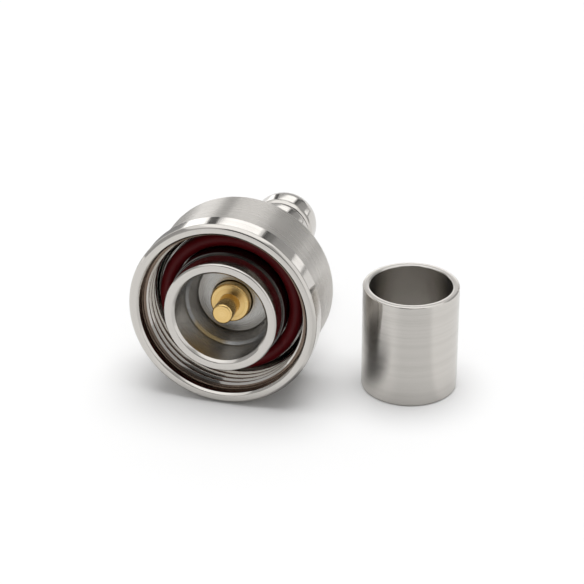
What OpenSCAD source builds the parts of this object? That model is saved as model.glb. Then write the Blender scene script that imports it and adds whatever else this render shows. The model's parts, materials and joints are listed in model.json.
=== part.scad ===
// Plug of a large coaxial connector for a crimped cable, with its crimp ferrule set down beside it.
// The connector lies on its coupling nut with its axis along Y, the mating end facing -Y and +Z up.
// The origin is the centre of the outer contact's rim, which is the connector's reference plane.
// The nut touches what it lies on with its band and with its barrel's rear edge, so that surface is
// inclined to the connector's axis by rest_angle, and the ferrule stands square on it.

/* [Outer contact] */
// Bore of the outer contact
contact_bore_d = 16; // [15:0.1:17]
// Wall of the outer contact's tube
tube_wall = 1.9; // [1.5:0.1:2.2]
// Length of the tube, from its rim to the gasket's seat
tube_len = 8.5; // [8:0.1:10]
// Length of the thinner land behind the rim
tube_land_len = 4.4; // [3:0.1:5]
// Height of the step between the land and the tube's root
root_step = 0.3; // [0.2:0.05:0.4]
// Bevel round the outside of the rim
rim_out_bevel = 0.25; // [0.1:0.05:0.5]
// Bevel round the inside of the rim
rim_in_bevel = 0.5; // [0.2:0.05:0.7]
// Length of the bore, from the rim to the conical step
bore_len = 6.2; // [5.5:0.1:6.8]
// Radial height of the conical step in the bore
bore_step = 0.5; // [0.3:0.05:0.7]
// Length of the conical step in the bore
bore_step_len = 0.8; // [0.5:0.1:1.2]
// Length of the tapered throat behind the step
throat_len = 2; // [1.5:0.1:3]
// Radial height of the throat's taper
throat_taper = 1; // [0.7:0.1:1.2]

/* [Body] */
// Thickness of the lip that stops the insulator
stop_lip_t = 0.8; // [0.6:0.1:1.2]
// Radial height of the lip that stops the insulator
stop_lip_h = 1.1; // [0.8:0.1:1.4]
// Thickness of the flange that the nut's lip pulls on
flange_t = 2.55; // [2:0.05:3.5]
// Depth of the gasket's seat in the front of the flange
gasket_seat_h = 0.4; // [0.2:0.1:0.8]
// Wall of the hub behind the flange, round the insulator
hub_wall = 3.4; // [3:0.1:4]
// Length of the hub, from the flange to the rear shoulder
hub_len = 11; // [10:0.5:14]
// Depth of the two spanner flats
flat_h = 1.25; // [0.8:0.05:1.6]
// Length of the two spanner flats
flat_len = 4.5; // [3:0.5:5]
// Wall of the collar that holds the crimp stem
collar_wall = 1; // [0.8:0.1:1.5]
// Length of the collar that holds the crimp stem
collar_len = 3; // [2:0.5:5]
// Bevel on the body's outer edges
body_bevel = 0.4; // [0.2:0.05:0.6]

/* [Coupling nut] */
// Diameter of the coupling thread at its roots
thread_d = 29; // [28:0.1:30]
// Height of the thread's ridges
thread_h = 0.8; // [0.6:0.05:1]
// Wall of the nut round the thread
nut_wall = 2; // [1.8:0.1:3]
// Lead of the outer contact's rim over the nut's front face
rim_lead = 1; // [0.5:0.1:1.5]
// Thickness of the nut's inner lip
nut_lip_t = 2.4; // [1.8:0.1:3]
// Depth of the recess behind the lip, which takes the snap ring
nut_recess_len = 2.5; // [1.6:0.1:3]
// Length of the polished band at the mouth
nut_band_len = 4; // [3:0.1:5]
// Height of the step from the band down to the barrel
barrel_step = 0.7; // [0.4:0.05:0.9]
// Bevel round the front edge of the band
nut_front_bevel = 0.5; // [0.3:0.05:0.8]
// Bevel round the rear edge of the band
band_rear_bevel = 0.2; // [0.1:0.05:0.4]
// Bevel round the rear edge of the barrel
nut_rear_bevel = 0.3; // [0.2:0.05:0.6]
// Bevel inside the mouth
nut_mouth_bevel = 0.4; // [0.2:0.05:0.6]
// Length of the plain relief in front of the thread
nut_relief_len = 1.9; // [1.2:0.1:2.4]
// Depth of that relief below the thread's roots
nut_relief_h = 0.15; // [0.1:0.05:0.3]
// Length of the run-out groove at the end of the thread
runout_len = 2; // [1.5:0.1:3]
// Depth of the run-out groove below the thread's roots
runout_h = 0.4; // [0.2:0.05:0.6]

/* [Seals and rings] */
// Thickness of the gasket's round section
gasket_section_d = 2.4; // [1.8:0.1:2.6]
// Radial width of the snap ring
ring_w = 1.9; // [1.5:0.1:2.2]
// Thickness of the snap ring
ring_t = 1; // [0.8:0.1:1.2]
// Depth of the snap ring's groove in the hub
ring_groove_h = 0.7; // [0.5:0.05:0.9]
// Width of the gap in the snap ring
ring_gap = 2.5; // [1.5:0.5:4]

/* [Centre contact] */
// Diameter of the inner conductor
inner_d = 7; // [6.5:0.1:7.5]
// Depth of the inner conductor's shoulder behind the rim
inner_depth = 6.2; // [5.5:0.1:7]
// Diameter of the pin
pin_d = 3.6; // [3:0.1:4.5]
// Length of the pin
pin_len = 4.6; // [3.5:0.1:5]
// Bevel at the pin's tip
pin_bevel = 0.25; // [0.1:0.05:0.5]
// Radial height of the collar that stops the contact in the insulator
contact_collar_h = 0.7; // [0.4:0.1:1]
// Thickness of that collar
contact_collar_t = 1.4; // [1:0.1:2]
// Bore of the rear cup, which takes the cable's inner conductor
cup_bore_d = 3.8; // [3.4:0.1:4.4]
// Depth of the rear cup
cup_bore_len = 8; // [6:0.5:9]
// Wall of the rear cup
cup_wall = 1.6; // [1:0.1:1.8]
// Thickness of metal between the collar and the floor of the cup
cup_floor_t = 0.2; // [0.1:0.1:1]
// Diameter of the solder hole in the cup's wall
solder_hole_d = 1.2; // [0.8:0.1:1.6]
// Distance of the solder hole from the floor of the cup
solder_hole_y = 2.5; // [1.5:0.5:4]

/* [Insulator] */
// Distance from the rim of the insulator's front to the contact's collar
insulator_web_len = 4.2; // [3:0.1:5]
// Rise of the insulator's conical front, from its rim to its hole
insulator_rise = 1.2; // [0.5:0.1:1.5]
// Bevel round the mouth of the insulator's hole
insulator_bevel = 0.2; // [0.1:0.05:0.4]

/* [Crimp stem] */
// Bore of the stem, which takes the cable's dielectric
cable_bore_d = 10; // [9.5:0.1:11]
// Wall of the stem at its neck
neck_wall = 0.45; // [0.35:0.05:0.6]
// Length of the spigot held in the body
spigot_len = 6; // [5:0.5:7]
// Wall of the spigot
spigot_wall = 1.15; // [0.8:0.05:1.3]
// Length of the spigot's wide bore, which clears the contact's cup
spigot_bore_len = 4; // [3.5:0.5:5]
// Thickness of the flange that seats on the body
stem_flange_t = 1; // [0.6:0.1:1.5]
// Length of the neck, from the flange to the first bead
neck_len = 7.5; // [5:0.1:10]
// Height of the beads
bead_h = 0.5; // [0.3:0.05:0.7]
// Radius of the beads' edges
bead_round = 1.2; // [0.8:0.1:1.4]
// Length of the first bead
front_bead_len = 4.5; // [3:0.1:6]
// Length of the groove between the beads
bead_gap = 0.4; // [0.2:0.05:1]
// Length of the end bead
rear_bead_len = 5.6; // [4:0.1:7]

/* [Crimp ferrule] */
// Room for the cable's braid between the beads and the ferrule
braid_room = 1.15; // [0.8:0.05:1.5]
// Wall of the ferrule
ferrule_wall = 1.2; // [0.8:0.1:1.6]
// Length of the ferrule
ferrule_len = 19.3; // [16:0.1:24]
// Bevel on the ferrule's edges
ferrule_bevel = 0.2; // [0.1:0.05:0.35]
// Gap between the ferrule and the nut as they stand
ferrule_gap = 4.8; // [2:0.1:10]
// Distance of the ferrule's foot behind the plane of the rim
ferrule_y = 16.5; // [8:0.5:24]

/* [Clearances] */
// Radial clearance of the nut on the hub
nut_clear = 0.1; // [0.05:0.01:0.15]
// Axial clearance on each side of the nut's lip
nut_play = 0.15; // [0.1:0.05:0.4]
// Clearance between the flange and the thread's crests
flange_clear = 0.3; // [0.2:0.05:0.5]
// Clearance of the gasket on the tube's root
gasket_clear = 0.1; // [0.05:0.05:0.2]
// Clearance of the snap ring in its groove
ring_clear = 0.1; // [0.05:0.05:0.2]
// Room round the snap ring in the nut's recess
recess_room = 0.9; // [0.4:0.1:1.5]
// Clearance of the pieces that are pushed into the body
push_clear = 0.05; // [0.03:0.01:0.1]
// Clearance of the inner conductor in the insulator
inner_clear = 0.15; // [0.05:0.05:0.3]

/* [Hidden] */
$fn = 96;

bore_r = contact_bore_d / 2;
tube_r = bore_r + tube_wall;
root_r = tube_r + root_step;
throat_r = bore_r - bore_step;
stop_lip_r = throat_r - throat_taper;
seat_r = stop_lip_r + stop_lip_h;
hub_r = seat_r + hub_wall;
collar_r = seat_r + collar_wall;
thread_r = thread_d / 2;
relief_r = thread_r + nut_relief_h;
nut_r = thread_r + nut_wall;
barrel_r = nut_r - barrel_step;
flange_r = thread_r - thread_h - flange_clear;
lip_bore_r = hub_r + nut_clear;
ring_groove_r = hub_r - ring_groove_h;
ring_r = ring_groove_r + ring_clear;
recess_r = ring_r + ring_w + recess_room;
gasket_r = root_r + gasket_clear + gasket_section_d / 2;
gasket_seat_r = gasket_r + gasket_section_d / 2 + gasket_clear;
inner_r = inner_d / 2;
pin_r = pin_d / 2;
cup_bore_r = cup_bore_d / 2;
cup_r = cup_bore_r + cup_wall;
contact_collar_r = max(inner_r, cup_r) + contact_collar_h;
cable_bore_r = cable_bore_d / 2;
neck_r = cable_bore_r + neck_wall;
bead_r = neck_r + bead_h;
bead_reach = sqrt(bead_round ^ 2 - (bead_round - bead_h) ^ 2);
spigot_r = seat_r - push_clear;
spigot_bore_r = spigot_r - spigot_wall;
ferrule_bore_r = bead_r + braid_room;
ferrule_r = ferrule_bore_r + ferrule_wall;

throat_y = bore_len + bore_step_len;
stop_lip_y = throat_y + throat_len;
seat_y = stop_lip_y + stop_lip_t;
flange_y = tube_len - gasket_seat_h;
hub_y = tube_len + flange_t;
collar_y = hub_y + hub_len;
body_rear_y = collar_y + collar_len;
nut_lip_y = hub_y + nut_play;
nut_recess_y = nut_lip_y + nut_lip_t;
nut_rear_y = nut_recess_y + nut_recess_len;
band_rear_y = rim_lead + nut_band_len;
relief_end_y = rim_lead + nut_relief_len;
runout_y = nut_lip_y - runout_len;
ring_y = nut_recess_y + nut_play;
ring_groove_y = ring_y - ring_clear;
ring_groove_w = ring_t + 2 * ring_clear;
gasket_y = tube_len - gasket_section_d / 2;
spigot_y = body_rear_y - spigot_len;
insulator_y = stop_lip_y + push_clear;
insulator_tip_y = insulator_y - insulator_rise;
insulator_seat_y = seat_y + push_clear;
insulator_rear_y = spigot_y - push_clear;
contact_stop_y = insulator_y + insulator_web_len;
contact_collar_y = contact_stop_y + push_clear;
cup_y = contact_collar_y + contact_collar_t;
cup_floor_y = cup_y + cup_floor_t;
cup_rear_y = cup_floor_y + cup_bore_len;
pin_tip_y = inner_depth - pin_len;
neck_y = body_rear_y + stem_flange_t;
front_bead_y = neck_y + neck_len;
rear_bead_y = front_bead_y + front_bead_len + bead_gap;
stem_rear_y = rear_bead_y + rear_bead_len;

band_rest_y = band_rear_y - band_rear_bevel;
barrel_rest_y = nut_rear_y - nut_rear_bevel;
rest_angle = atan2(barrel_step, barrel_rest_y - band_rest_y);
ferrule_x = nut_r + ferrule_gap + ferrule_r;
ferrule_z = (ferrule_y - band_rest_y) * tan(rest_angle) - nut_r;

nickel = [0.78, 0.77, 0.75];
gold = [0.86, 0.68, 0.32];
silicone = [0.30, 0.04, 0.05];
dielectric = [0.58, 0.57, 0.55];

// Turns the child outline, drawn as radius and distance behind the rim, about the connector's axis
module turned() {
    rotate([-90, 0, 0])
        rotate_extrude()
            children();
}

// Outline of one bead on the stem's neck, a flat land between two rounded edges
module bead(start_y, len) {
    translate([cable_bore_r, start_y + bead_reach])
        square([bead_r - cable_bore_r, len - 2 * bead_reach]);
    intersection() {
        for (edge_y = [start_y + bead_reach, start_y + len - bead_reach])
            translate([bead_r - bead_round, edge_y])
                circle(r = bead_round);
        translate([cable_bore_r, start_y])
            square([bead_r - cable_bore_r, len]);
    }
}

module coupling_nut() {
    color(nickel)
        turned()
            polygon([
                [relief_r + nut_mouth_bevel, rim_lead],
                [nut_r - nut_front_bevel, rim_lead],
                [nut_r, rim_lead + nut_front_bevel],
                [nut_r, band_rest_y],
                [nut_r - band_rear_bevel, band_rear_y],
                [barrel_r, band_rear_y],
                [barrel_r, barrel_rest_y],
                [barrel_r - nut_rear_bevel, nut_rear_y],
                [recess_r, nut_rear_y],
                [recess_r, nut_recess_y],
                [lip_bore_r, nut_recess_y],
                [lip_bore_r, nut_lip_y],
                [thread_r + runout_h, nut_lip_y],
                [thread_r + runout_h, runout_y],
                [thread_r, runout_y - runout_h],
                [thread_r, relief_end_y + nut_relief_h],
                [relief_r, relief_end_y],
                [relief_r, rim_lead + nut_mouth_bevel]
            ]);
}

module connector_body() {
    color(nickel)
        difference() {
            turned()
                polygon([
                    [bore_r + rim_in_bevel, 0],
                    [tube_r - rim_out_bevel, 0],
                    [tube_r, rim_out_bevel],
                    [tube_r, tube_land_len],
                    [root_r, tube_land_len],
                    [root_r, tube_len],
                    [gasket_seat_r, tube_len],
                    [gasket_seat_r, flange_y],
                    [flange_r - body_bevel, flange_y],
                    [flange_r, flange_y + body_bevel],
                    [flange_r, hub_y],
                    [hub_r, hub_y],
                    [hub_r, ring_groove_y],
                    [ring_groove_r, ring_groove_y],
                    [ring_groove_r, ring_groove_y + ring_groove_w],
                    [hub_r, ring_groove_y + ring_groove_w],
                    [hub_r, collar_y - body_bevel],
                    [hub_r - body_bevel, collar_y],
                    [collar_r, collar_y],
                    [collar_r, body_rear_y],
                    [seat_r, body_rear_y],
                    [seat_r, seat_y],
                    [stop_lip_r, seat_y],
                    [stop_lip_r, stop_lip_y],
                    [throat_r, throat_y],
                    [bore_r, bore_len],
                    [bore_r, rim_in_bevel]
                ]);
            for (side = [-1, 1])
                spanner_flat(side);
        }
}

// Block that cuts one spanner flat into the rear end of the hub
module spanner_flat(side) {
    translate([side * (hub_r - flat_h / 2), collar_y - flat_len / 2, 0])
        cube([flat_h, flat_len, 2 * hub_r], center = true);
}

module face_gasket() {
    color(silicone)
        turned()
            translate([gasket_r, gasket_y])
                circle(d = gasket_section_d);
}

module snap_ring() {
    color(nickel)
        difference() {
            turned()
                translate([ring_r, ring_y])
                    square([ring_w, ring_t]);
            translate([-ring_gap / 2, ring_y, 0])
                cube([ring_gap, ring_t, ring_r + ring_w]);
        }
}

module insulator() {
    hole_r = inner_r + inner_clear;
    color(dielectric)
        turned()
            polygon([
                [hole_r + insulator_bevel, insulator_tip_y],
                [stop_lip_r - push_clear, insulator_y],
                [stop_lip_r - push_clear, insulator_seat_y],
                [seat_r - push_clear, insulator_seat_y],
                [seat_r - push_clear, insulator_rear_y],
                [contact_collar_r + push_clear, insulator_rear_y],
                [contact_collar_r + push_clear, contact_stop_y],
                [hole_r, contact_stop_y],
                [hole_r, insulator_tip_y + insulator_bevel]
            ]);
}

module centre_contact() {
    color(gold)
        difference() {
            turned()
                polygon([
                    [0, pin_tip_y],
                    [pin_r - pin_bevel, pin_tip_y],
                    [pin_r, pin_tip_y + pin_bevel],
                    [pin_r, inner_depth],
                    [inner_r - pin_bevel, inner_depth],
                    [inner_r, inner_depth + pin_bevel],
                    [inner_r, contact_collar_y],
                    [contact_collar_r, contact_collar_y],
                    [contact_collar_r, cup_y],
                    [cup_r, cup_y],
                    [cup_r, cup_rear_y],
                    [cup_bore_r, cup_rear_y],
                    [cup_bore_r, cup_floor_y],
                    [0, cup_floor_y]
                ]);
            translate([0, cup_floor_y + solder_hole_y, 0])
                cylinder(d = solder_hole_d, h = 2 * cup_r);
        }
}

module crimp_stem() {
    color(nickel)
        turned() {
            polygon([
                [spigot_bore_r, spigot_y],
                [spigot_r, spigot_y],
                [spigot_r, body_rear_y],
                [collar_r, body_rear_y],
                [collar_r, neck_y],
                [neck_r, neck_y],
                [neck_r, stem_rear_y],
                [cable_bore_r, stem_rear_y],
                [cable_bore_r, spigot_y + spigot_bore_len],
                [spigot_bore_r, spigot_y + spigot_bore_len]
            ]);
            bead(front_bead_y, front_bead_len);
            bead(rear_bead_y, rear_bead_len);
        }
}

module crimp_ferrule() {
    color(nickel)
        translate([ferrule_x, ferrule_y, ferrule_z])
            rotate([rest_angle, 0, 0])
                rotate_extrude()
                    polygon([
                        [ferrule_bore_r + ferrule_bevel, 0],
                        [ferrule_r - ferrule_bevel, 0],
                        [ferrule_r, ferrule_bevel],
                        [ferrule_r, ferrule_len - ferrule_bevel],
                        [ferrule_r - ferrule_bevel, ferrule_len],
                        [ferrule_bore_r + ferrule_bevel, ferrule_len],
                        [ferrule_bore_r, ferrule_len - ferrule_bevel],
                        [ferrule_bore_r, ferrule_bevel]
                    ]);
}

coupling_nut();
connector_body();
face_gasket();
snap_ring();
insulator();
centre_contact();
crimp_stem();
crimp_ferrule();
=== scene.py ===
import json
import math

import bmesh
import bpy
from mathutils import Matrix, Vector


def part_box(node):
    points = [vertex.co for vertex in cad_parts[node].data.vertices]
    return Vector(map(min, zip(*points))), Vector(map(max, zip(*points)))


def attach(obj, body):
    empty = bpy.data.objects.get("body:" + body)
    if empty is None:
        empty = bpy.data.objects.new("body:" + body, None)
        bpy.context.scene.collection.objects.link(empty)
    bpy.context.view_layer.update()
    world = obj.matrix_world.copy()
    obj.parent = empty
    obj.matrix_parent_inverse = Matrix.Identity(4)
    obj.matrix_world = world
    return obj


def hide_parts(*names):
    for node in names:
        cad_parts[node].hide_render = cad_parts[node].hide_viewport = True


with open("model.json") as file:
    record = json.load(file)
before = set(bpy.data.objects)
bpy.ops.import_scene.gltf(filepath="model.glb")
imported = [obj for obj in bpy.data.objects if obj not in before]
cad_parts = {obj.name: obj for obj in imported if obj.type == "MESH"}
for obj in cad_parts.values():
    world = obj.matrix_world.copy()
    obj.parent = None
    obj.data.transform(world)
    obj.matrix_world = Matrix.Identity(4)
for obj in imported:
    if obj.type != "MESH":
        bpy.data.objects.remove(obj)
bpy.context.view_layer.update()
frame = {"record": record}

mm = 0.001  # the pieces are drawn in millimetres and scaled to metres when they are finished


def nodeBox(node):
    low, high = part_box(node)
    return low / mm, high / mm


def mountOf(name):
    return next(m for m in frame["record"]["mounts"] if m["name"] == name)


def mountSize(name, key="r_mm"):
    return mountOf(name)["dims"][key]


# the nut lies on its band and its rear edge, so the floor is a little inclined to the connector's axis
floorUp = Vector(mountOf("ferrule_bore")["axis"])
restAngle = math.asin(-floorUp.y)
floorTurn = Matrix.Rotation(restAngle, 3, "X")


def addObject(name, data):
    made = bpy.data.objects.new(name, data)
    bpy.context.scene.collection.objects.link(made)
    return made


def meshFrom(bm, name):
    mesh = bpy.data.meshes.new(name)
    bm.to_mesh(mesh)
    bm.free()
    return mesh


# camera
cameraView = {
    "azimuth": 14.98,  # degrees round the coupling nut, towards +X
    "elevation": 28.536,  # degrees above the floor
    "right": 11.975, "up": 4.027, "back": 388.045,  # millimetres from the middle of the nut's mouth
    "focalPixels": 2300.0, "imagePixels": 584, "sensor": 36.0,
    "clip": (0.01, 10.0),  # metres
}


def makeCamera(look):
    swing, lift = math.radians(look["azimuth"]), math.radians(look["elevation"])
    level = math.cos(lift)
    right = floorTurn @ Vector((math.cos(swing), math.sin(swing), 0))
    back = floorTurn @ Vector((math.sin(swing) * level, -math.cos(swing) * level, math.sin(lift)))
    up = back.cross(right)
    mouth = Vector((0, nodeBox("coupling_nut")[0].y, 0))
    camera = addObject("camera", bpy.data.cameras.new("camera"))
    camera.data.sensor_width = look["sensor"]
    camera.data.lens = look["sensor"] * look["focalPixels"] / look["imagePixels"]
    camera.data.clip_start, camera.data.clip_end = look["clip"]
    place = (mouth + right * look["right"] + up * look["up"] + back * look["back"]) * mm
    camera.matrix_world = Matrix.Translation(place) @ Matrix((right, up, back)).transposed().to_4x4()
    bpy.context.scene.camera = camera


makeCamera(cameraView)
print("camera: set at the photograph's view")


# node helpers
noiseRange = (0.3, 0.7)  # where most of a noise lies
noiseRoughness = 0.55


def setInputs(tree, node, inputs):
    for place, value in inputs.items():
        if isinstance(value, bpy.types.NodeSocket):
            tree.links.new(value, node.inputs[place])
        else:
            node.inputs[place].default_value = value


def addNode(tree, kind, inputs=None, **settings):
    made = tree.nodes.new("ShaderNode" + kind)
    for name, value in settings.items():
        setattr(made, name, value)
    setInputs(tree, made, inputs or {})
    return made


def calc(tree, operation, *values):
    return addNode(tree, "Math", dict(enumerate(values)), operation=operation).outputs[0]


def span(tree, value, fromLow, fromHigh, toLow, toHigh):
    inputs = {"Value": value, "From Min": fromLow, "From Max": fromHigh, "To Min": toLow, "To Max": toHigh}
    return addNode(tree, "MapRange", inputs, interpolation_type="SMOOTHSTEP").outputs["Result"]


def noise(tree, vector, scale, detail=2.0, dimensions="3D"):
    inputs = {"Vector": vector, "Scale": scale, "Detail": detail, "Roughness": noiseRoughness}
    return addNode(tree, "TexNoise", inputs, noise_dimensions=dimensions).outputs["Fac"]


def mixColour(tree, factor, first, second):
    mixed = addNode(tree, "Mix", {0: factor, 6: first, 7: second}, data_type="RGBA")
    return mixed.outputs[2]


def startGroup(name, inputs, outputs):
    tree = bpy.data.node_groups.new(name, "ShaderNodeTree")
    for label, kind, value in inputs:
        socket = tree.interface.new_socket(label, in_out="INPUT", socket_type="NodeSocket" + kind)
        if value is not None:
            socket.default_value = value
    for label, kind in outputs:
        tree.interface.new_socket(label, in_out="OUTPUT", socket_type="NodeSocket" + kind)
    return tree, tree.nodes.new("NodeGroupInput").outputs, tree.nodes.new("NodeGroupOutput").inputs


def useGroup(tree, group, inputs):
    made = tree.nodes.new("ShaderNodeGroup")
    made.node_tree = group
    setInputs(tree, made, inputs)
    return made.outputs


def clearTree(owner):
    owner.use_nodes = True
    owner.node_tree.nodes.clear()
    return owner.node_tree


# rings left by the cutting tool: they follow the radius on faces and the length on cylinders
markSizes = {
    "spacing": 0.0002,  # metres
    "fineDetail": 1.5, "fineShare": 0.6, "broad": 0.25, "drift": 260.0, "softDetail": 1.0, "fade": 0.6,
}


def makeTurningMarks(size):
    tree, given, out = startGroup(
        "turningMarks",
        [("Vector", "Vector", None), ("Spacing", "Float", size["spacing"]), ("Fade", "Float", size["fade"])],
        [("Height", "Float"), ("Streak", "Float")],
    )
    parts = addNode(tree, "SeparateXYZ", {0: given["Vector"]}).outputs
    flat = addNode(tree, "CombineXYZ", {"X": parts["X"], "Z": parts["Z"]}).outputs[0]
    radius = addNode(tree, "VectorMath", {0: flat}, operation="LENGTH").outputs["Value"]
    ring = addNode(tree, "CombineXYZ", {"X": radius, "Y": parts["Y"]}).outputs[0]
    perLength = calc(tree, "DIVIDE", 1.0, given["Spacing"])
    fine = noise(tree, ring, perLength, size["fineDetail"], "2D")
    broad = noise(tree, ring, calc(tree, "MULTIPLY", perLength, size["broad"]), size["softDetail"], "2D")
    # the rings come and go round the piece
    drift = noise(tree, given["Vector"], size["drift"], size["softDetail"])
    kept = calc(tree, "SUBTRACT", 1.0, calc(tree, "MULTIPLY", given["Fade"], drift))
    tree.links.new(calc(tree, "MULTIPLY", fine, kept), out["Height"])
    rest = calc(tree, "MULTIPLY", broad, 1 - size["fineShare"])
    tree.links.new(calc(tree, "MULTIPLY_ADD", fine, size["fineShare"], rest), out["Streak"])
    return tree


# faint clouds where the plating has been handled
handlingSizes = {"scale": 240.0, "detail": 3.0, "cloudy": (0.42, 0.72)}


def makeHandling(size):
    tree, given, out = startGroup(
        "handling", [("Vector", "Vector", None), ("Scale", "Float", size["scale"])], [("Mask", "Float")]
    )
    clouds = noise(tree, given["Vector"], given["Scale"], size["detail"])
    tree.links.new(span(tree, clouds, *size["cloudy"], 0.0, 1.0), out["Mask"])
    return tree


turningMarks = makeTurningMarks(markSizes)
handling = makeHandling(handlingSizes)


def startMaterial(name):
    material = bpy.data.materials.new(name)
    tree = clearTree(material)
    shader = addNode(tree, "BsdfPrincipled")
    output = addNode(tree, "OutputMaterial")
    tree.links.new(shader.outputs[0], output.inputs[0])
    coords = addNode(tree, "TexCoord").outputs["Object"]
    return material, tree, shader, coords


# fine rings round the axis spread the gloss along it
def brushRound(tree, shader, grain, axis):
    tangent = addNode(tree, "Tangent", direction_type="RADIAL", axis=axis)
    tree.links.new(tangent.outputs[0], shader.inputs["Tangent"])
    shader.inputs["Anisotropic"].default_value = grain
    shader.inputs["Anisotropic Rotation"].default_value = 0.25  # a quarter turn: along the axis


# bump of the turning marks: a lean adds a steady slope, so that a taper shines as a straighter surface does
def markBump(tree, marks, depth, lean=None):
    height = calc(tree, "MULTIPLY", marks["Height"], depth * mm)
    if lean:
        height = calc(tree, "ADD", height, lean)
    return addNode(tree, "Bump", {"Strength": 1.0, "Distance": 1.0, "Height": height}).outputs[0]


# every turned metal surface, plated or bare
def turnedMetal(name, look):
    material, tree, shader, place = startMaterial(name)
    if "axisAt" in look:  # a piece that stands upright is turned so that its axis is Y
        inputs = {"Vector": place, "Location": look["axisAt"], "Rotation": look["axisTurn"]}
        place = addNode(tree, "Mapping", inputs, vector_type="TEXTURE").outputs[0]
    inputs = {"Vector": place, "Spacing": look["spacing"] * mm, "Fade": markSizes["fade"]}
    marks = useGroup(tree, turningMarks, inputs)
    haze = useGroup(tree, handling, {"Vector": place, "Scale": handlingSizes["scale"]})
    rough = span(tree, marks["Streak"], *noiseRange, *look["roughness"])
    rough = calc(tree, "MULTIPLY_ADD", haze["Mask"], look["haze"], rough)
    marked = span(tree, marks["Streak"], *noiseRange, 0.0, 1.0)
    colour = mixColour(tree, marked, look["tint"], look["markTint"])
    lean = None
    if "lean" in look:
        distance = addNode(tree, "SeparateXYZ", {0: place}).outputs["Y"]
        lean = calc(tree, "MULTIPLY", distance, look["lean"])
    bump = markBump(tree, marks, look["depth"], lean)
    for socket, value in (("Base Color", colour), ("Roughness", rough), ("Normal", bump)):
        tree.links.new(value, shader.inputs[socket])
    shader.inputs["Metallic"].default_value = 1.0
    brushRound(tree, shader, look["grain"], look.get("axis", "Y"))
    return material


# finishes: spacing and depth of the turning marks in millimetres, grain from 0 to 1
nickel = {"tint": (0.66, 0.635, 0.60, 1), "markTint": (0.62, 0.595, 0.56, 1), "haze": 0.02}
polishedLook = {**nickel, "roughness": (0.08, 0.11), "spacing": 0.12, "depth": 0.0004, "grain": 0.7}
faceLook = {**nickel, "roughness": (0.14, 0.18), "haze": 0.03, "spacing": 0.10, "depth": 0.0006, "grain": 0.6}
threadLook = {**nickel, "roughness": (0.08, 0.12), "spacing": 0.08, "depth": 0.0004, "grain": 0.5}
satinLook = {**nickel, "roughness": (0.26, 0.30), "spacing": 0.07, "depth": 0.001, "grain": 0.9}
boreLook = {**nickel, "roughness": (0.12, 0.16), "spacing": 0.1, "depth": 0.001, "grain": 0.9}
# near-black nickel: painted shade for the tube's root by the gasket and the groove between the stem's beads
shadedRecessLook = {"tint": (0.12, 0.11, 0.105, 1), "markTint": (0.09, 0.083, 0.08, 1), "roughness": (0.14, 0.2),
            "haze": 0.03, "spacing": 0.07, "depth": 0.001, "grain": 0.5}
# dark brown nickel: painted shade with a painted reflection of the red gasket, for the nut's relief and
# thread roots
shadedRootLook = {"tint": (0.25, 0.19, 0.15, 1), "markTint": (0.19, 0.145, 0.115, 1), "roughness": (0.22, 0.28),
            "haze": 0.02, "spacing": 0.1, "depth": 0.0002, "grain": 0.5}
# darker grey nickel: painted shade for the cone step inside the bore
shadedStepLook = {"tint": (0.40, 0.41, 0.42, 1), "markTint": (0.33, 0.34, 0.35, 1), "roughness": (0.2, 0.26),
            "haze": 0.02, "spacing": 0.1, "depth": 0.0004, "grain": 0.9}
polishedNickel = turnedMetal("polishedNickel", polishedLook)
faceNickel = turnedMetal("faceNickel", faceLook)
threadNickel = turnedMetal("threadNickel", threadLook)
satinNickel = turnedMetal("satinNickel", satinLook)
boreNickel = turnedMetal("boreNickel", boreLook)
dullNickel = turnedMetal("dullNickel", shadedRecessLook)
rootNickel = turnedMetal("rootNickel", shadedRootLook)
stepNickel = turnedMetal("stepNickel", shadedStepLook)


# mesh helpers
meshSizes = {
    "mergeDistance": 0.0002, "cutDistance": 0.0001,  # millimetres
    "fineRound": 0.3, "fineSegments": 4, "broadSegments": 8,
    "sharpAngle": 32.0,  # degrees
}


def spinRound(bm, steps):
    bmesh.ops.spin(bm, geom=bm.verts[:] + bm.edges[:], cent=(0, 0, 0), axis=(0, 1, 0), dvec=(0, 0, 0),
                   angle=math.tau, steps=steps, use_merge=True)
    bmesh.ops.remove_doubles(bm, verts=bm.verts, dist=meshSizes["mergeDistance"])
    bmesh.ops.recalc_face_normals(bm, faces=bm.faces)
    return bm


# an outline is (radius, distance behind the rim, rounding) in millimetres
def turn(outline, steps, closed=True):
    bm = bmesh.new()
    corners = [bm.verts.new((point[0], point[1], 0)) for point in outline]
    followers = corners[1:] + (corners[:1] if closed else [])
    for start, end in zip(corners, followers):
        bm.edges.new((start, end))
    for size in sorted({point[2] for point in outline if len(point) > 2}):
        chosen = [v for v, point in zip(corners, outline) if len(point) > 2 and point[2] == size]
        fine = size < meshSizes["fineRound"]
        segments = meshSizes["fineSegments" if fine else "broadSegments"]
        bmesh.ops.bevel(bm, geom=chosen, offset=size, offset_type="OFFSET", affect="VERTICES",
                        segments=segments, profile=0.5, material=-1)
    return spinRound(bm, steps)


def makeBlock(sides, middle):
    block = bmesh.new()
    bmesh.ops.create_cube(block, size=1)
    bmesh.ops.scale(block, vec=sides, verts=block.verts)
    bmesh.ops.translate(block, vec=middle, verts=block.verts)
    return block


def shadeSmooth(mesh):
    mesh.shade_smooth()
    mesh.set_sharp_from_angle(angle=math.radians(meshSizes["sharpAngle"]))


def finishPiece(bm, name, body, replaced=None):
    bmesh.ops.scale(bm, vec=(mm, mm, mm), verts=bm.verts)
    piece = addObject(name, meshFrom(bm, name))
    shadeSmooth(piece.data)
    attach(piece, body)
    if replaced:
        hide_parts(replaced)
    return piece


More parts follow.
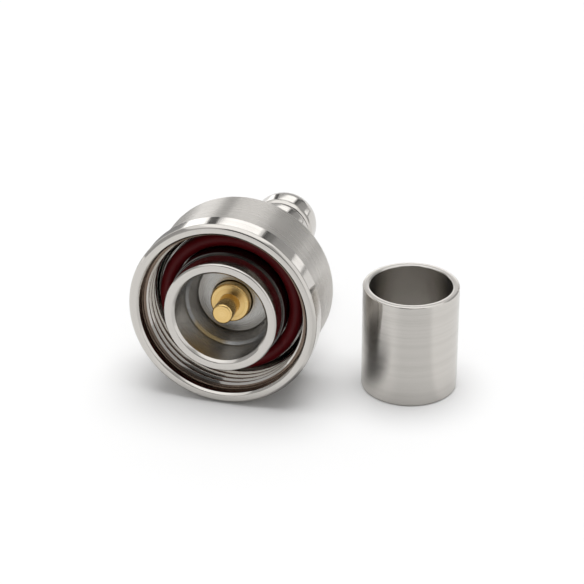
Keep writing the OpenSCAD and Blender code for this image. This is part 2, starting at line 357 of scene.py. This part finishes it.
# cuts a block or drill away from a finished piece
def cutAway(piece, cutter):
    bmesh.ops.scale(cutter, vec=(mm, mm, mm), verts=cutter.verts)
    tool = addObject("cutter", meshFrom(cutter, "cutter"))
    cut = piece.modifiers.new("cut", "BOOLEAN")
    cut.operation, cut.solver, cut.object = "DIFFERENCE", "EXACT", tool
    bpy.context.view_layer.update()
    result = bpy.data.meshes.new_from_object(piece.evaluated_get(bpy.context.evaluated_depsgraph_get()))
    piece.modifiers.clear()
    piece.data = result
    shadeSmooth(result)
    bpy.data.objects.remove(tool)


# keeps flat faces flat and lets only the rounded edges turn the light
def holdFaces(piece):
    weighted = piece.modifiers.new("flat faces", "WEIGHTED_NORMAL")
    weighted.keep_sharp = True


# gives each face the finish of the first zone that takes its radius and distance
def paintZones(piece, zones):
    for material, takes in zones:
        piece.data.materials.append(material)
    for face in piece.data.polygons:
        radius, distance = math.hypot(face.center.x, face.center.z) / mm, face.center.y / mm
        face.material_index = next(i for i, (material, takes) in enumerate(zones) if takes(radius, distance))


def everywhere(radius, distance):
    return True


# coupling nut
nutSizes = {
    "steps": 256,
    "frontBevel": 0.5, "mouthBevel": 0.4, "bandLength": 4.0, "bandRearBevel": 0.2, "barrelStep": 0.7,
    "reliefDepth": 0.15, "reliefLength": 1.9,
    "rearBevel": 0.3, "runoutDepth": 0.4, "runoutLength": 2.0,
    "lipLength": 2.4, "lipBore": 11.1, "recessRadius": 13.2, "recessLength": 2.5,
    "fineEdge": 0.06, "frontEdge": 0.15, "rearEdge": 0.18,
}


def makeNut(size):
    low, high = nodeBox("coupling_nut")
    outer, front, rear = high.x, low.y, high.y
    barrel = outer - size["barrelStep"]
    thread = mountSize("coupling_thread")
    runout = thread + size["runoutDepth"]
    relief, reliefEnd = thread + size["reliefDepth"], front + size["reliefLength"]
    band = front + size["bandLength"]
    recess = rear - size["recessLength"]
    lip = recess - size["lipLength"]
    runoutFront = lip - size["runoutLength"]
    fine = size["fineEdge"]
    outline = [
        (relief + size["mouthBevel"], front, fine),
        (outer - size["frontBevel"], front, size["frontEdge"]),
        (outer, front + size["frontBevel"], size["frontEdge"]),
        (outer, band - size["bandRearBevel"], fine),
        (outer - size["bandRearBevel"], band, fine),
        (barrel, band),
        (barrel, rear - size["rearBevel"], size["rearEdge"]),
        (barrel - size["rearBevel"], rear, size["rearEdge"]),
        (size["recessRadius"], rear, fine),
        (size["recessRadius"], recess),
        (size["lipBore"], recess, fine),
        (size["lipBore"], lip, fine),
        (runout, lip),
        (runout, runoutFront),
        (thread, runoutFront - size["runoutDepth"], fine),
        (thread, reliefEnd + size["reliefDepth"], fine),
        (relief, reliefEnd),
        (relief, front + size["mouthBevel"], fine),
    ]
    piece = finishPiece(turn(outline, size["steps"]), "nut", "nut", "coupling_nut")
    holdFaces(piece)
    paintZones(piece, [
        (faceNickel, lambda radius, distance: distance < front + fine and radius > thread),
        # the relief and thread root in the nut's mouth: painted shade and painted reflection of the gasket
        (rootNickel, lambda radius, distance:
            front + size["mouthBevel"] < distance < lip and radius < runout + fine),
        (threadNickel, lambda radius, distance: distance < rear - fine and radius < runout + fine),
        (polishedNickel, lambda radius, distance: distance < band + fine),
        (satinNickel, everywhere),
    ])


makeNut(nutSizes)


# the nut's thread, a right-handed ridge wound inside it and cut off square at both ends
threadSizes = {
    "steps": 192, "pitch": 1.5, "height": 0.8, "crest": 0.19, "flankAngle": 30.0,  # degrees
    "start": 2.05, "end": 7.8, "firstCrest": 0.725, "sunk": 0.05, "edge": 0.06, "edgeSegments": 3,
    "brightShare": 0.5, "fine": 0.01,
}


def makeThread(size):
    front = nodeBox("coupling_nut")[0].y
    root = mountSize("coupling_thread")
    crest, base = root - size["height"], root + size["sunk"]
    top, fine = size["crest"] / 2, size["fine"]
    lean = math.tan(math.radians(size["flankAngle"]))
    foot = top + (size["height"] + size["sunk"]) * lean
    # half the ridge's width, and its radius, where its bright crest ends and the painted shade towards the
    # root begins
    waist = top + size["brightShare"] * size["height"] * lean
    waistRadius = crest + size["brightShare"] * size["height"]
    first, start, end = (front + size[key] for key in ("firstCrest", "start", "end"))
    bm = bmesh.new()
    ridge = [
        (base, first - foot), (waistRadius, first - waist), (crest, first - top),
        (crest, first + top), (waistRadius, first + waist), (base, first + foot),
    ]
    corners = [bm.verts.new((radius, distance, 0)) for radius, distance in ridge]
    for pair in zip(corners, corners[1:] + corners[:1]):
        bm.edges.new(pair)
    bmesh.ops.bevel(bm, geom=corners[2:4], offset=size["edge"], offset_type="OFFSET", affect="VERTICES",
                    segments=size["edgeSegments"], profile=0.5, material=-1)
    turns = math.ceil((end + foot - first) / size["pitch"])
    bmesh.ops.spin(bm, geom=bm.verts[:] + bm.edges[:], cent=(0, 0, 0), axis=(0, 1, 0),
                   dvec=(0, size["pitch"] / size["steps"], 0), angle=turns * math.tau,
                   steps=turns * size["steps"], use_merge=False)
    bmesh.ops.holes_fill(bm, edges=[e for e in bm.edges if e.is_boundary], sides=0)
    for limit, side in ((start, -1), (end, 1)):
        bmesh.ops.bisect_plane(bm, geom=bm.verts[:] + bm.edges[:] + bm.faces[:],
                               dist=meshSizes["cutDistance"], plane_co=(0, limit, 0),
                               plane_no=(0, side, 0), clear_outer=True)
        bmesh.ops.holes_fill(bm, edges=[e for e in bm.edges if e.is_boundary], sides=0)
    bmesh.ops.recalc_face_normals(bm, faces=bm.faces)
    piece = finishPiece(bm, "nut_thread", "nut")
    holdFaces(piece)
    paintZones(piece, [
        # the ridge's flanks below the bright crest, and its cut start: painted shade
        (rootNickel, lambda radius, distance: radius > waistRadius or distance < start + fine),
        (threadNickel, everywhere),
    ])


makeThread(threadSizes)
print("nut and thread: made")


# connector body with the outer contact
bodySizes = {
    "steps": 256,
    "bore": 8.0, "rimInBevel": 0.5, "rimOutBevel": 0.25, "landLength": 4.4, "rootStep": 0.3,
    "boreLength": 6.35, "coneHeight": 0.5, "coneLength": 0.5, "throatLength": 2.15, "throatTaper": 1.0,
    "stopLip": 0.8, "seatRadius": 7.6, "gasketFloor": 8.5, "gasketSeat": 0.4, "gasketSeatRadius": 12.8,
    "flangeRear": 11.05, "bevel": 0.4, "hubRadius": 11.0, "hubRear": 22.05, "collarRadius": 8.6,
    "ringGroove": (13.65, 14.85), "ringGrooveDepth": 0.7, "flatDepth": 1.25, "flatLength": 4.5,
    "fineEdge": 0.08,
    "rootClear": 0.02, "grooveReach": 2.0,  # the painted shade zone's ends, past the tube and short of the flange
}


def makeBody(size):
    high = nodeBox("connector_body")[1]
    flange, rear = high.x, high.y
    tube = mountSize("outer_contact")
    root = tube + size["rootStep"]
    bore = size["bore"]
    throat = size["boreLength"] + size["coneLength"]
    lip = throat + size["throatLength"]
    lipRadius = bore - size["coneHeight"] - size["throatTaper"]
    flangeFront = size["gasketFloor"] - size["gasketSeat"]
    hub, hubRear = size["hubRadius"], size["hubRear"]
    grooveFront, grooveRear = size["ringGroove"]
    fine = size["fineEdge"]
    outline = [
        (bore + size["rimInBevel"], 0, fine),
        (tube - size["rimOutBevel"], 0, fine),
        (tube, size["rimOutBevel"], fine),
        (tube, size["landLength"], fine),
        (root, size["landLength"], fine),
        (root, size["gasketFloor"]),
        (size["gasketSeatRadius"], size["gasketFloor"]),
        (size["gasketSeatRadius"], flangeFront, fine),
        (flange - size["bevel"], flangeFront, fine),
        (flange, flangeFront + size["bevel"], fine),
        (flange, size["flangeRear"], fine),
        (hub, size["flangeRear"]),
        (hub, grooveFront, fine),
        (hub - size["ringGrooveDepth"], grooveFront),
        (hub - size["ringGrooveDepth"], grooveRear),
        (hub, grooveRear, fine),
        (hub, hubRear - size["bevel"], fine),
        (hub - size["bevel"], hubRear, fine),
        (size["collarRadius"], hubRear),
        (size["collarRadius"], rear, fine),
        (size["seatRadius"], rear, fine),
        (size["seatRadius"], lip + size["stopLip"]),
        (lipRadius, lip + size["stopLip"], fine),
        (lipRadius, lip, fine),
        (bore - size["coneHeight"], throat, fine),
        (bore, size["boreLength"], fine),
        (bore, size["rimInBevel"], fine),
    ]
    piece = finishPiece(turn(outline, size["steps"]), "body", "connector", "connector_body")
    for side in (-1, 1):
        middle = hubRear - size["flatLength"] / 2
        block = makeBlock((2 * size["flatDepth"], size["flatLength"], 4 * hub), (side * hub, middle, 0))
        cutAway(piece, block)
    holdFaces(piece)
    taper = math.atan2(size["throatTaper"], size["throatLength"])
    throatNickel = turnedMetal("throatNickel", {**boreLook, "lean": -math.tan(taper) / math.cos(taper)})
    paintZones(piece, [
        (throatNickel, lambda radius, distance:
            radius < bore - size["coneHeight"] and throat < distance < lip),
        # the cone step inside the bore: painted shade
        (stepNickel, lambda radius, distance:
            radius < bore and size["boreLength"] - fine < distance < throat + fine),
        (boreNickel, lambda radius, distance:
            radius < bore + fine and size["rimInBevel"] < distance < lip),
        # the tube's root step and the wall behind it, up to the gasket: painted shade
        (dullNickel, lambda radius, distance:
            tube + size["rootClear"] < radius < flange - size["grooveReach"]
            and distance < size["gasketFloor"] - fine),
        (threadNickel, lambda radius, distance:
            radius > tube - fine and size["rimOutBevel"] < distance < size["gasketFloor"]),
        (faceNickel, everywhere),
    ])


makeBody(bodySizes)


# face gasket
gasketSizes = {"steps": 256, "sectionPoints": 40}
gasketLook = {
    "colour": (0.105, 0.002, 0.004, 1), "pale": (0.145, 0.006, 0.008, 1), "roughness": (0.42, 0.52),
    "ior": 1.42, "shine": 0.27, "cloudScale": 350.0, "grainScale": 9000.0, "grainDepth": 0.01, "bump": 0.3,
}


def redSilicone(look):
    material, tree, shader, place = startMaterial("redSilicone")
    grain = noise(tree, place, look["grainScale"])
    clouds = noise(tree, place, look["cloudScale"])
    tree.links.new(mixColour(tree, clouds, look["colour"], look["pale"]), shader.inputs["Base Color"])
    tree.links.new(span(tree, clouds, *noiseRange, *look["roughness"]), shader.inputs["Roughness"])
    inputs = {"Strength": look["bump"], "Distance": look["grainDepth"] * mm, "Height": grain}
    tree.links.new(addNode(tree, "Bump", inputs).outputs[0], shader.inputs["Normal"])
    shader.inputs["IOR"].default_value = look["ior"]
    shader.inputs["Specular IOR Level"].default_value = look["shine"]
    return material


def makeGasket(size):
    low, high = nodeBox("face_gasket")
    section = (high.y - low.y) / 2
    bm = bmesh.new()
    bmesh.ops.create_circle(bm, segments=size["sectionPoints"], radius=section)
    bmesh.ops.translate(bm, vec=(high.x - section, low.y + section, 0), verts=bm.verts)
    spinRound(bm, size["steps"])
    piece = finishPiece(bm, "gasket", "connector", "face_gasket")
    piece.data.materials.append(redSilicone(gasketLook))


makeGasket(gasketSizes)


# snap ring
ringSizes = {"steps": 192, "gap": 2.5, "inner": 10.4, "edge": 0.1}
ringLook = {"tint": (0.58, 0.52, 0.44, 1), "markTint": (0.5, 0.44, 0.36, 1), "roughness": (0.28, 0.38),
            "haze": 0.05, "spacing": 0.2, "depth": 0.003, "grain": 0.5}


def makeRing(size):
    low, high = nodeBox("snap_ring")
    outline = [(size["inner"], low.y, size["edge"]), (high.x, low.y, size["edge"]),
               (high.x, high.y, size["edge"]), (size["inner"], high.y, size["edge"])]
    bm = turn(outline, size["steps"])
    piece = finishPiece(bm, "snap_ring_spring", "connector", "snap_ring")
    cutAway(piece, makeBlock((size["gap"], high.x, high.x), (0, low.y, high.x)))
    holdFaces(piece)
    paintZones(piece, [(turnedMetal("springBronze", ringLook), everywhere)])


makeRing(ringSizes)


# insulator
insulatorSizes = {"steps": 192, "frontRadius": 6.45, "stepLength": 0.8, "hole": 3.6, "holeLength": 4.2,
                  "rearHole": 4.25, "rise": 1.2, "edge": 0.04, "mouth": 0.08}
insulatorLook = {"colour": (0.46, 0.45, 0.43, 1), "pale": (0.52, 0.51, 0.49, 1), "roughness": (0.24, 0.30),
                 "metallic": 0.75, "spacing": 0.12, "fade": 0.5, "depth": 0.001, "grain": 0.8}


# the shallow cone is turned in fine flat steps, so it shines as a flat face does
def greyInsulator(look, slope):
    material, tree, shader, place = startMaterial("greyInsulator")
    inputs = {"Vector": place, "Spacing": look["spacing"] * mm, "Fade": look["fade"]}
    marks = useGroup(tree, turningMarks, inputs)
    colour = mixColour(tree, marks["Streak"], look["colour"], look["pale"])
    rough = span(tree, marks["Streak"], *noiseRange, *look["roughness"])
    tree.links.new(colour, shader.inputs["Base Color"])
    tree.links.new(rough, shader.inputs["Roughness"])
    across = addNode(tree, "VectorMath", {0: place, 1: (1, 0, 1)}, operation="MULTIPLY").outputs[0]
    radius = addNode(tree, "VectorMath", {0: across}, operation="LENGTH").outputs["Value"]
    lean = calc(tree, "MULTIPLY", radius, slope * math.hypot(1, slope))
    tree.links.new(markBump(tree, marks, look["depth"], lean), shader.inputs["Normal"])
    shader.inputs["Metallic"].default_value = look["metallic"]
    brushRound(tree, shader, look["grain"], "Y")
    return material


def makeInsulator(size):
    low, high = nodeBox("insulator")
    rim = low.y + size["rise"]
    step, web = rim + size["stepLength"], rim + size["holeLength"]
    edge = size["edge"]
    outline = [
        (size["hole"] + size["mouth"], low.y, edge),
        (size["frontRadius"], rim, edge),
        (size["frontRadius"], step),
        (high.x, step, edge),
        (high.x, high.y, edge),
        (size["rearHole"], high.y, edge),
        (size["rearHole"], web),
        (size["hole"], web),
        (size["hole"], low.y + size["mouth"], edge),
    ]
    bm = turn(outline, size["steps"])
    piece = finishPiece(bm, "dielectric", "connector", "insulator")
    holdFaces(piece)
    slope = size["rise"] / (size["frontRadius"] - size["hole"] - size["mouth"])
    piece.data.materials.append(greyInsulator(insulatorLook, slope))


makeInsulator(insulatorSizes)


# centre contact
contactSizes = {
    "steps": 160, "shoulder": 3.5, "shoulderAt": 6.2,
    "collarAt": 13.3, "collarRadius": 4.2, "collarLength": 1.4,
    "cupFloor": 14.9, "solderHole": 1.2, "solderAt": 2.5, "holeSegments": 32,
    "tipBevel": 0.25, "rootRound": 0.05, "edge": 0.08, "faceSlack": 0.02,
}
contactLook = {"tint": (0.83, 0.60, 0.27, 1), "markTint": (0.76, 0.52, 0.2, 1), "roughness": (0.12, 0.16),
               "haze": 0.03, "spacing": 0.12, "depth": 0.0006, "grain": 0.7}
contactFaceLook = {**contactLook, "roughness": (0.26, 0.32)}


def makeContact(size):
    low, high = nodeBox("centre_contact")
    pin, cup = mountSize("centre_pin"), mountSize("contact_cup")
    shoulder, shoulderAt, edge = size["shoulder"], size["shoulderAt"], size["edge"]
    cupAt = size["collarAt"] + size["collarLength"]
    outline = [
        (0, low.y),
        (pin - size["tipBevel"], low.y, edge),
        (pin, low.y + size["tipBevel"], edge),
        (pin, shoulderAt, size["rootRound"]),
        (shoulder - size["tipBevel"], shoulderAt, edge),
        (shoulder, shoulderAt + size["tipBevel"], edge),
        (shoulder, size["collarAt"]),
        (size["collarRadius"], size["collarAt"], edge),
        (size["collarRadius"], cupAt, edge),
        (shoulder, cupAt),
        (shoulder, high.y, edge),
        (cup, high.y, edge),
        (cup, size["cupFloor"]),
        (0, size["cupFloor"]),
    ]
    bm = turn(outline, size["steps"], closed=False)
    piece = finishPiece(bm, "contact", "connector", "centre_contact")
    drill = bmesh.new()
    bmesh.ops.create_cone(drill, cap_ends=True, segments=size["holeSegments"], radius1=size["solderHole"] / 2,
                          radius2=size["solderHole"] / 2, depth=2 * shoulder)
    bmesh.ops.translate(drill, vec=(0, size["cupFloor"] + size["solderAt"], shoulder), verts=drill.verts)
    cutAway(piece, drill)
    holdFaces(piece)
    paintZones(piece, [
        (turnedMetal("goldFace", contactFaceLook), lambda radius, distance:
            radius > pin + edge and abs(distance - shoulderAt) < size["faceSlack"]),
        (turnedMetal("goldPlate", contactLook), everywhere),
    ])


makeContact(contactSizes)


# crimp stem
stemSizes = {
    "steps": 224, "spigotLength": 6.0, "spigotRadius": 7.55, "spigotBore": 6.4, "wideBoreLength": 4.0,
    "flangeLength": 1.0, "neck": 5.45, "neckLength": 7.5, "beadHeight": 0.5, "beadRound": 1.2,
    "frontBead": 4.5, "beadGap": 0.4, "endRound": 5.5, "roundSteps": 10, "edge": 0.06,
}


def makeStem(size):
    low, high = nodeBox("crimp_stem")
    bore = mountSize("cable_bore")
    seat = low.y + size["spigotLength"]
    neckAt = seat + size["flangeLength"]
    frontBead = neckAt + size["neckLength"]
    gap = frontBead + size["frontBead"]
    rearBead = gap + size["beadGap"]
    neck, edge = size["neck"], size["edge"]
    wide = low.y + size["wideBoreLength"]

    # points of a bead's rounded end, rising from the neck at its foot
    def beadEdge(foot, side, radius):
        middle = neck + size["beadHeight"] - radius
        lean = math.acos((neck - middle) / radius)
        angles = [lean * (1 - k / size["roundSteps"]) for k in range(size["roundSteps"] + 1)]
        place = foot + side * radius * math.sin(lean)
        edges = [(middle + radius * math.cos(a), place - side * radius * math.sin(a)) for a in angles]
        return edges if side > 0 else edges[::-1]

    outline = [
        (size["spigotBore"], low.y, edge),
        (size["spigotRadius"], low.y, edge),
        (size["spigotRadius"], seat),
        (high.x, seat, edge),
        (high.x, neckAt, edge),
        (neck, neckAt),
        *beadEdge(frontBead, 1, size["beadRound"]),
        *beadEdge(gap, -1, size["beadRound"]),
        *beadEdge(rearBead, 1, size["beadRound"]),
        *beadEdge(high.y, -1, size["endRound"]),
        (bore, high.y, edge),
        (bore, wide),
        (size["spigotBore"], wide),
    ]
    piece = finishPiece(turn(outline, size["steps"]), "stem", "connector", "crimp_stem")
    holdFaces(piece)
    paintZones(piece, [
        (boreNickel, lambda radius, distance: radius < bore + edge),
        # the groove between the stem's two beads: painted shade
        (dullNickel, lambda radius, distance:
            radius < neck + edge and gap - edge < distance < rearBead + edge),
        (polishedNickel, everywhere),
    ])


makeStem(stemSizes)


# crimp ferrule, standing beside the connector
ferruleSizes = {"steps": 256, "wall": 1.2, "length": 19.3, "bevel": 0.2, "edge": 0.08}
ferruleLooks = {
    "ferruleOutside": {**satinLook, "roughness": (0.14, 0.21), "spacing": 0.18},
    "ferruleInside": {**boreLook, "roughness": (0.18, 0.22), "grain": 0.95},
    "ferruleRim": {**polishedLook, "roughness": (0.1, 0.15)},
}


def ferruleFoot():
    return Vector(mountOf("ferrule_bore")["pos_m"]) / mm - floorUp * ferruleSizes["length"] / 2


def makeFerrule(size):
    bore, length = mountSize("ferrule_bore"), size["length"]
    outer = bore + size["wall"]
    bevel, edge = size["bevel"], size["edge"]
    foot = ferruleFoot()
    outline = [
        (bore + bevel, 0, edge), (outer - bevel, 0, edge), (outer, bevel, edge),
        (outer, length - bevel, edge), (outer - bevel, length, edge), (bore + bevel, length, edge),
        (bore, length - bevel, edge), (bore, bevel, edge),
    ]
    bm = turn(outline, size["steps"])
    upright = Matrix.Rotation(math.pi / 2 + restAngle, 3, "X")
    bmesh.ops.rotate(bm, cent=(0, 0, 0), matrix=upright, verts=bm.verts)
    bmesh.ops.translate(bm, vec=foot, verts=bm.verts)
    piece = finishPiece(bm, "ferrule", "connector", "crimp_ferrule")
    holdFaces(piece)
    stand = {"axisAt": foot * mm, "axisTurn": (math.pi / 2 + restAngle, 0, 0), "axis": "Z"}
    for name, look in ferruleLooks.items():
        piece.data.materials.append(turnedMetal(name, {**look, **stand}))
    for face in piece.data.polygons:
        across = upright.transposed() @ (face.center / mm - foot)
        onEnd = across.y > length - bevel or across.y < bevel
        radius = math.hypot(across.x, across.z)
        face.material_index = 2 if onEnd else 1 if radius < bore + edge else 0


makeFerrule(ferruleSizes)


# studio: pale floor, white surroundings, and cards that only reflections see
studio = {
    "floorSize": 4.0, "floorColour": (0.93, 0.93, 0.93, 1), "floorMirrored": (0.83, 0.83, 0.83, 1),
    "floorRoughness": 0.9, "floorShine": 0.1,
    "light": 0.44, "sun": 2.1, "sunAngle": 48.0, "sunFrom": (0.02, 0.1, 1.0),
    "cardDistance": 1.0, "stripDistance": 0.9,  # metres
    "cardStep": 5.0,  # degrees
    "cards": {  # from azimuth, to azimuth, from elevation, to elevation in degrees, brightness
        "backLeft": (-38, -23.6, 4, 17, 1.7),
        "overLeft": (-60, -23.6, 17, 45, 0.75),
        "gapLeft": (-23.6, -20, 8, 60, 0.12),
        "underMiddle": (-20, 9, 3, 23, 0.5),
        "backMiddle": (-20, 7, 23, 30, 1.65),
        "overMiddle": (-20, 9, 30, 50, 0.75),
        "gapRight": (9, 12, 8, 60, 0.10),
        "fadeRight": (12, 16, 8, 60, 0.22),
        "paleRight": (16, 22, 8, 60, 0.40),
        "stripRight": (25, 31, 5, 13, 1.3),
        "backRight": (22, 75, -2, 45, 0.45),
        "front": (163, 196, -6, 50, 0.08),
        "frontRight": (130, 163, -6, 50, 0.45),
        "frontLeft": (196, 240, -6, 42, 0.5),
        "top": (-180, 180, 54, 88, 1.3),
        "left": (-120, -75, 4, 42, 0.4),
    },
    "flags": {  # one end and the other in x and y, from z, to z in millimetres, brightness
        "flagLeft": ((-140, 60), (-34.5, 60), -25, 18, 0.30),
    },
    # painted shadow on the floor that only metal mirrors: degrees round the ferrule, and millimetres between
    # it and the nut
    "fan": (-36, -1, 50, 65), "fanShade": 0.17,
    "gapX": (5, 15, 16, 23), "gapY": (-12, 4, 10, 21), "gapShade": 0.72,
}


# what metal shows of the studio, and the plain light where it only throws light on
def firstShine(tree, brightness):
    depth = addNode(tree, "LightPath").outputs["Diffuse Depth"]
    thrown = calc(tree, "GREATER_THAN", depth, 0.5)  # after one diffuse bounce or more
    return addNode(tree, "Mix", {0: thrown, 2: brightness, 3: studio["light"]}, data_type="FLOAT").outputs[0]


# rises between the first two numbers and falls between the last two
def plateau(tree, value, edges, unit):
    up = span(tree, value, edges[0] * unit, edges[1] * unit, 0.0, 1.0)
    down = span(tree, value, edges[2] * unit, edges[3] * unit, 1.0, 0.0)
    return calc(tree, "MULTIPLY", up, down)


# the floor as metal mirrors it, with painted shadow before the ferrule and between it and the nut
def shadowedMirrorFloor(tree, place, look):
    foot = ferruleFoot() * mm
    parts = addNode(tree, "SeparateXYZ", {0: place}).outputs
    across = calc(tree, "SUBTRACT", parts["X"], foot.x)
    ahead = calc(tree, "SUBTRACT", foot.y, parts["Y"])
    fan = plateau(tree, calc(tree, "ARCTAN2", across, ahead), look["fan"], math.radians(1))
    gapX = plateau(tree, parts["X"], look["gapX"], mm)
    gap = calc(tree, "MULTIPLY", gapX, plateau(tree, parts["Y"], look["gapY"], mm))
    fanShade = calc(tree, "MULTIPLY", fan, look["fanShade"])
    gapShade = calc(tree, "MULTIPLY", gap, look["gapShade"])
    shade = calc(tree, "MAXIMUM", fanShade, gapShade)
    return mixColour(tree, shade, look["floorMirrored"], (0, 0, 0, 1))


def makeFloor(look):
    bm = bmesh.new()
    bmesh.ops.create_grid(bm, x_segments=1, y_segments=1, size=look["floorSize"] / 2)
    bmesh.ops.rotate(bm, cent=(0, 0, 0), matrix=floorTurn, verts=bm.verts)
    bmesh.ops.translate(bm, vec=ferruleFoot() * mm, verts=bm.verts)
    floor = addObject("floor", meshFrom(bm, "floor"))
    material, tree, shader, place = startMaterial("paleFloor")
    mirrored = addNode(tree, "LightPath").outputs["Is Glossy Ray"]
    colour = mixColour(tree, mirrored, look["floorColour"], shadowedMirrorFloor(tree, place, look))
    tree.links.new(colour, shader.inputs["Base Color"])
    shader.inputs["Roughness"].default_value = look["floorRoughness"]
    shader.inputs["Specular IOR Level"].default_value = look["floorShine"]
    floor.data.materials.append(material)


def makeCard(look, name):
    left, right, low, high, brightness = look["cards"][name]
    bm = bmesh.new()
    rows = math.ceil((high - low) / look["cardStep"])
    heights = [math.radians(low + (high - low) * row / rows) for row in range(rows + 1)]
    reach = look["stripDistance" if name == "stripRight" else "cardDistance"]
    chain = [bm.verts.new((0, reach * math.cos(height), reach * math.sin(height))) for height in heights]
    for pair in zip(chain, chain[1:]):
        bm.edges.new(pair)
    bmesh.ops.rotate(bm, cent=(0, 0, 0), matrix=Matrix.Rotation(math.radians(-left), 3, "Z"), verts=bm.verts)
    bmesh.ops.spin(bm, geom=bm.verts[:] + bm.edges[:], cent=(0, 0, 0), axis=(0, 0, -1), dvec=(0, 0, 0),
                   angle=math.radians(right - left), steps=math.ceil((right - left) / look["cardStep"]),
                   use_merge=False)
    showCard(bm, name, brightness)


def makeUpright(start, end, low, high):
    bm = bmesh.new()
    foot = [bm.verts.new(Vector((*place, low)) * mm) for place in (start, end)]
    raised = bmesh.ops.extrude_edge_only(bm, edges=[bm.edges.new(foot)])["geom"]
    top = [part for part in raised if isinstance(part, bmesh.types.BMVert)]
    bmesh.ops.translate(bm, vec=(0, 0, (high - low) * mm), verts=top)
    return bm


def showCard(bm, name, brightness):
    card = addObject(name, meshFrom(bm, name))
    card.visible_camera = card.visible_diffuse = card.visible_shadow = False
    material = bpy.data.materials.new(name)
    tree = clearTree(material)
    shade = addNode(tree, "Emission", {"Color": (1, 1, 1, 1), "Strength": firstShine(tree, brightness)})
    tree.links.new(shade.outputs[0], addNode(tree, "OutputMaterial").inputs[0])
    card.data.materials.append(material)


def makeSun(look):
    sun = addObject("sun", bpy.data.lights.new("sun", "SUN"))
    sun.data.energy, sun.data.angle = look["sun"], math.radians(look["sunAngle"])
    sun.rotation_euler = (floorTurn @ Vector(look["sunFrom"])).to_track_quat("Z", "Y").to_euler()
    sun.visible_glossy = False


def makeWorld(look):
    world = bpy.data.worlds.new("studio")
    bpy.context.scene.world = world
    tree = clearTree(world)
    path = addNode(tree, "LightPath").outputs
    seen = calc(tree, "MAXIMUM", path["Is Camera Ray"], path["Is Glossy Ray"])
    seen = calc(tree, "MAXIMUM", seen, path["Is Transmission Ray"])
    inputs = {0: seen, 2: look["light"], 3: firstShine(tree, 1.0)}
    strength = addNode(tree, "Mix", inputs, data_type="FLOAT").outputs[0]
    shade = addNode(tree, "Background", {"Color": (1, 1, 1, 1), "Strength": strength})
    tree.links.new(shade.outputs[0], addNode(tree, "OutputWorld").inputs[0])


makeFloor(studio)
for cardName in studio["cards"]:
    makeCard(studio, cardName)
for flagName, (*corners, shine) in studio["flags"].items():
    showCard(makeUpright(*corners), flagName, shine)
makeSun(studio)
makeWorld(studio)
bpy.context.scene.view_settings.view_transform = "Standard"
print("studio: floor and light made")
